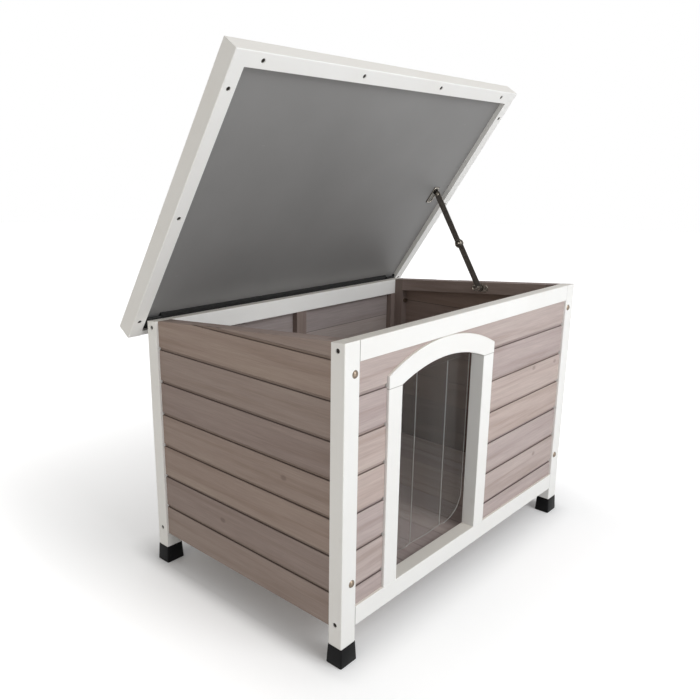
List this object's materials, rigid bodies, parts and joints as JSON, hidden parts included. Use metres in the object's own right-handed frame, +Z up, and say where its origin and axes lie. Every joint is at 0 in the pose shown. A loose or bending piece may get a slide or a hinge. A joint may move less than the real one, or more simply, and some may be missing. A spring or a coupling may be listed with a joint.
{
  "type": "dog house",
  "caption": "Timber dog house with plank walls, an arched doorway with clear flap strips, and a framed sloping lid on hinges held open by a folding stay.",
  "frame": {"origin": "on the ground, at the middle of the outline seen from above with the lid open", "axes": "+Z up, the doorway faces -Y and the hinge side +Y, +X to the right of someone who looks at the doorway"},
  "size_m": [0.845, 0.5696, 0.9962],
  "materials": {
    "white_timber": "satin paint on planed timber",
    "taupe_timber": "matt stain on planed timber",
    "bare_timber": "bare planed timber",
    "grey_panel": "matt grey coated board",
    "black_plastic": "moulded",
    "clear_pvc": "clear flexible sheet",
    "zinc_steel": "zinc plated",
    "nickel_steel": "nickel plated",
    "dark_steel": "dark coated steel",
    "black_metal": "black powder coat",
    "seal_rubber": "soft foam rubber",
    "roofing_felt": "mineral faced bitumen felt"
  },
  "bodies": {
    "house": {"door_arch": "white_timber", "door_jamb_left": "white_timber", "door_jamb_right": "white_timber", "flap_clamp": "taupe_timber", "flap_header": "clear_pvc", "floor_bearers": "bare_timber", "floor_boards": "taupe_timber", "foot_caps": "black_plastic", "frame_bolts": "zinc_steel", "frame_nuts": "zinc_steel", "front_bottom_rail": "white_timber", "front_cleats": "taupe_timber", "front_planks_left": "taupe_timber", "front_planks_right": "taupe_timber", "front_top_rail": "white_timber", "hinge_box_leaves": "black_metal", "hinge_pins": "black_metal", "left_bottom_batten": "taupe_timber", "left_front_stile": "taupe_timber", "left_rear_stile": "taupe_timber", "left_top_batten": "taupe_timber", "left_wall_planks": "taupe_timber", "post_front_left": "white_timber", "post_front_right": "white_timber", "post_rear_left": "white_timber", "post_rear_right": "white_timber", "rail_screws": "zinc_steel", "rear_bottom_rail": "white_timber", "rear_end_cleats": "white_timber", "rear_middle_cleat": "taupe_timber", "rear_top_rail": "white_timber", "rear_wall_planks": "taupe_timber", "right_bottom_batten": "taupe_timber", "right_front_stile": "taupe_timber", "right_rear_stile": "taupe_timber", "right_top_batten": "taupe_timber", "right_wall_planks": "taupe_timber", "stay_box_bracket": "nickel_steel", "stay_box_rivet": "nickel_steel"},
    "lid": {"hinge_lid_leaves": "black_metal", "lid_battens": "bare_timber", "lid_deck": "bare_timber", "lid_front_rail": "white_timber", "lid_left_rail": "white_timber", "lid_lining": "grey_panel", "lid_rear_rail": "white_timber", "lid_right_rail": "white_timber", "lid_screws": "zinc_steel", "lid_seal_strip": "seal_rubber", "roof_felt": "roofing_felt", "stay_lid_bracket": "nickel_steel", "stay_lid_rivet": "nickel_steel"},
    "stay_lower": {"stay_lower_link": "dark_steel", "stay_knuckle_cap": "nickel_steel"},
    "stay_upper": {"stay_upper_link": "dark_steel", "stay_knuckle_rivet": "nickel_steel"},
    "strip_left": {"flap_strip_left": "clear_pvc"},
    "strip_middle": {"flap_strip_middle": "clear_pvc"},
    "strip_right": {"flap_strip_right": "clear_pvc"}
  },
  "joints": [
    {"name": "lid_hinge", "type": "hinge", "parent": "house", "child": "lid", "pos_m": [0, 0.23624, 0.5155], "axis": [1, 0, 0], "range_deg": [0, 51.44]},
    {"name": "stay_lower_pivot", "type": "hinge", "parent": "house", "child": "stay_lower", "pos_m": [0.3522, -0.05776, 0.52503], "axis": [1, 0, 0], "range_deg": [0, 137.1]},
    {"name": "stay_upper_pivot", "type": "hinge", "parent": "lid", "child": "stay_upper", "pos_m": [0.3484, 0.0741, 0.74526], "axis": [1, 0, 0], "range_deg": [-93.2, 0]},
    {"name": "flap_left_bend", "type": "hinge", "parent": "house", "child": "strip_left", "pos_m": [-0.204, -0.25151, 0.4615], "axis": [1, 0, 0], "range_deg": [-75, 75]},
    {"name": "flap_middle_bend", "type": "hinge", "parent": "house", "child": "strip_middle", "pos_m": [-0.118, -0.25151, 0.4615], "axis": [1, 0, 0], "range_deg": [-75, 75]},
    {"name": "flap_right_bend", "type": "hinge", "parent": "house", "child": "strip_right", "pos_m": [-0.032, -0.25151, 0.4615], "axis": [1, 0, 0], "range_deg": [-75, 75]}
  ],
  "couplings": [
    {"joint": "stay_lower_pivot", "follows": "lid_hinge", "ratio": 2.6646},
    {"joint": "stay_upper_pivot", "follows": "lid_hinge", "ratio": -1.8105}
  ]
}
